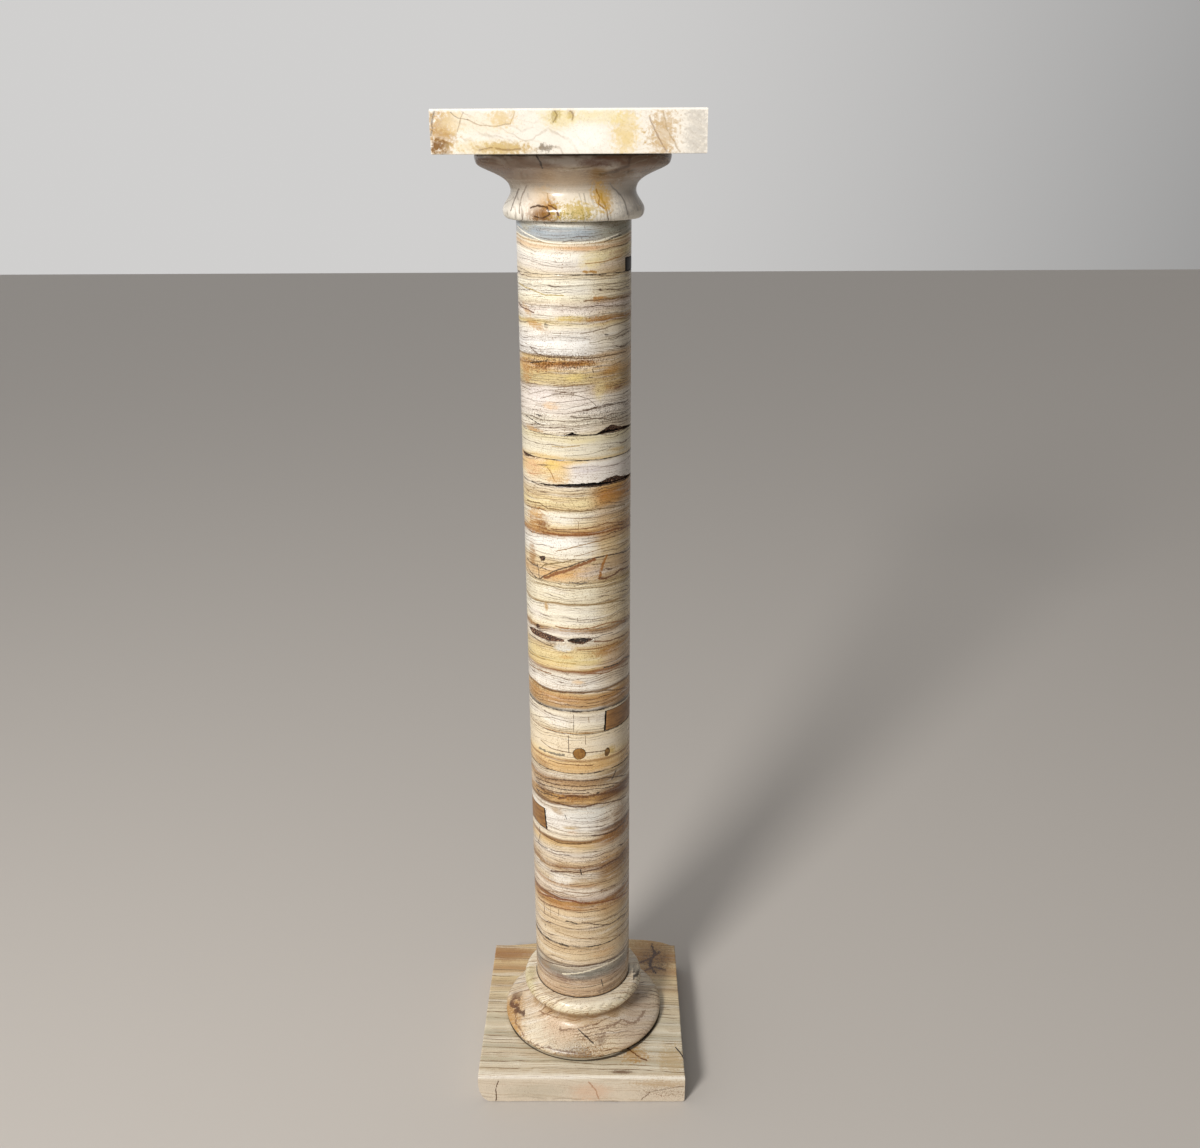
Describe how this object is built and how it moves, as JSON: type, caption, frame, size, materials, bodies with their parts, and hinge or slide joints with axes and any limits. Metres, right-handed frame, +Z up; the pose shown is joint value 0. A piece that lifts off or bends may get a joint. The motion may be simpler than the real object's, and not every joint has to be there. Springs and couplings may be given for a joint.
{
  "type": "onyx column",
  "caption": "Round banded onyx display column with turned base and capital between two square slabs, made to stand on a floor and carry an object on its flat top.",
  "frame": {"origin": "centre of the flat underside of the foot slab, on the shaft's axis", "axes": "+Z up along the shaft, front towards -Y, the foot slab's bowed edge towards +Y"},
  "size_m": [0.24, 0.254, 1.078],
  "materials": {
    "base_slab_onyx": "polished onyx, beige with parallel brown and grey-green bands",
    "base_moulding_onyx": "polished onyx, pinkish beige with brown grain and an orange patch",
    "shaft_drum_01_onyx": "polished onyx, pinkish brown with a blue-grey band",
    "shaft_drum_02_onyx": "polished onyx, beige with orange and brown bands",
    "shaft_drum_03_onyx": "polished onyx, cream turning to orange yellow",
    "shaft_drum_04_onyx": "polished onyx, white to cream",
    "shaft_drum_05_onyx": "polished onyx, cream with ochre stripes and voids",
    "shaft_drum_06_onyx": "polished onyx, white and brown with slanting veins",
    "shaft_drum_07_onyx": "polished onyx, peach on one side and white on the other",
    "shaft_drum_08_onyx": "polished onyx, plain cream with fine lines",
    "shaft_drum_09_onyx": "polished onyx, white with fine grey lines and ochre bands",
    "shaft_drum_10_onyx": "polished onyx, cream under a blue-grey band",
    "patch_right_stone": "polished brown stone repair",
    "patch_left_stone": "polished brown stone repair",
    "patch_top_stone": "polished dark stone repair",
    "plug_round_stone": "polished ochre stone plug",
    "plug_small_stone": "polished brown stone plug",
    "capital_onyx": "polished onyx, white with grey veins and an ochre knot",
    "top_slab_onyx": "polished onyx, white with ochre clouds and thin brown lines"
  },
  "bodies": {
    "root": {"base_slab": "base_slab_onyx", "base_moulding": "base_moulding_onyx", "shaft_drum_01": "shaft_drum_01_onyx", "shaft_drum_02": "shaft_drum_02_onyx", "shaft_drum_03": "shaft_drum_03_onyx", "shaft_drum_04": "shaft_drum_04_onyx", "shaft_drum_05": "shaft_drum_05_onyx", "shaft_drum_06": "shaft_drum_06_onyx", "shaft_drum_07": "shaft_drum_07_onyx", "shaft_drum_08": "shaft_drum_08_onyx", "shaft_drum_09": "shaft_drum_09_onyx", "shaft_drum_10": "shaft_drum_10_onyx", "patch_right": "patch_right_stone", "patch_left": "patch_left_stone", "patch_top": "patch_top_stone", "plug_round": "plug_round_stone", "plug_small": "plug_small_stone", "capital": "capital_onyx", "top_slab": "top_slab_onyx"}
  },
  "joints": []
}
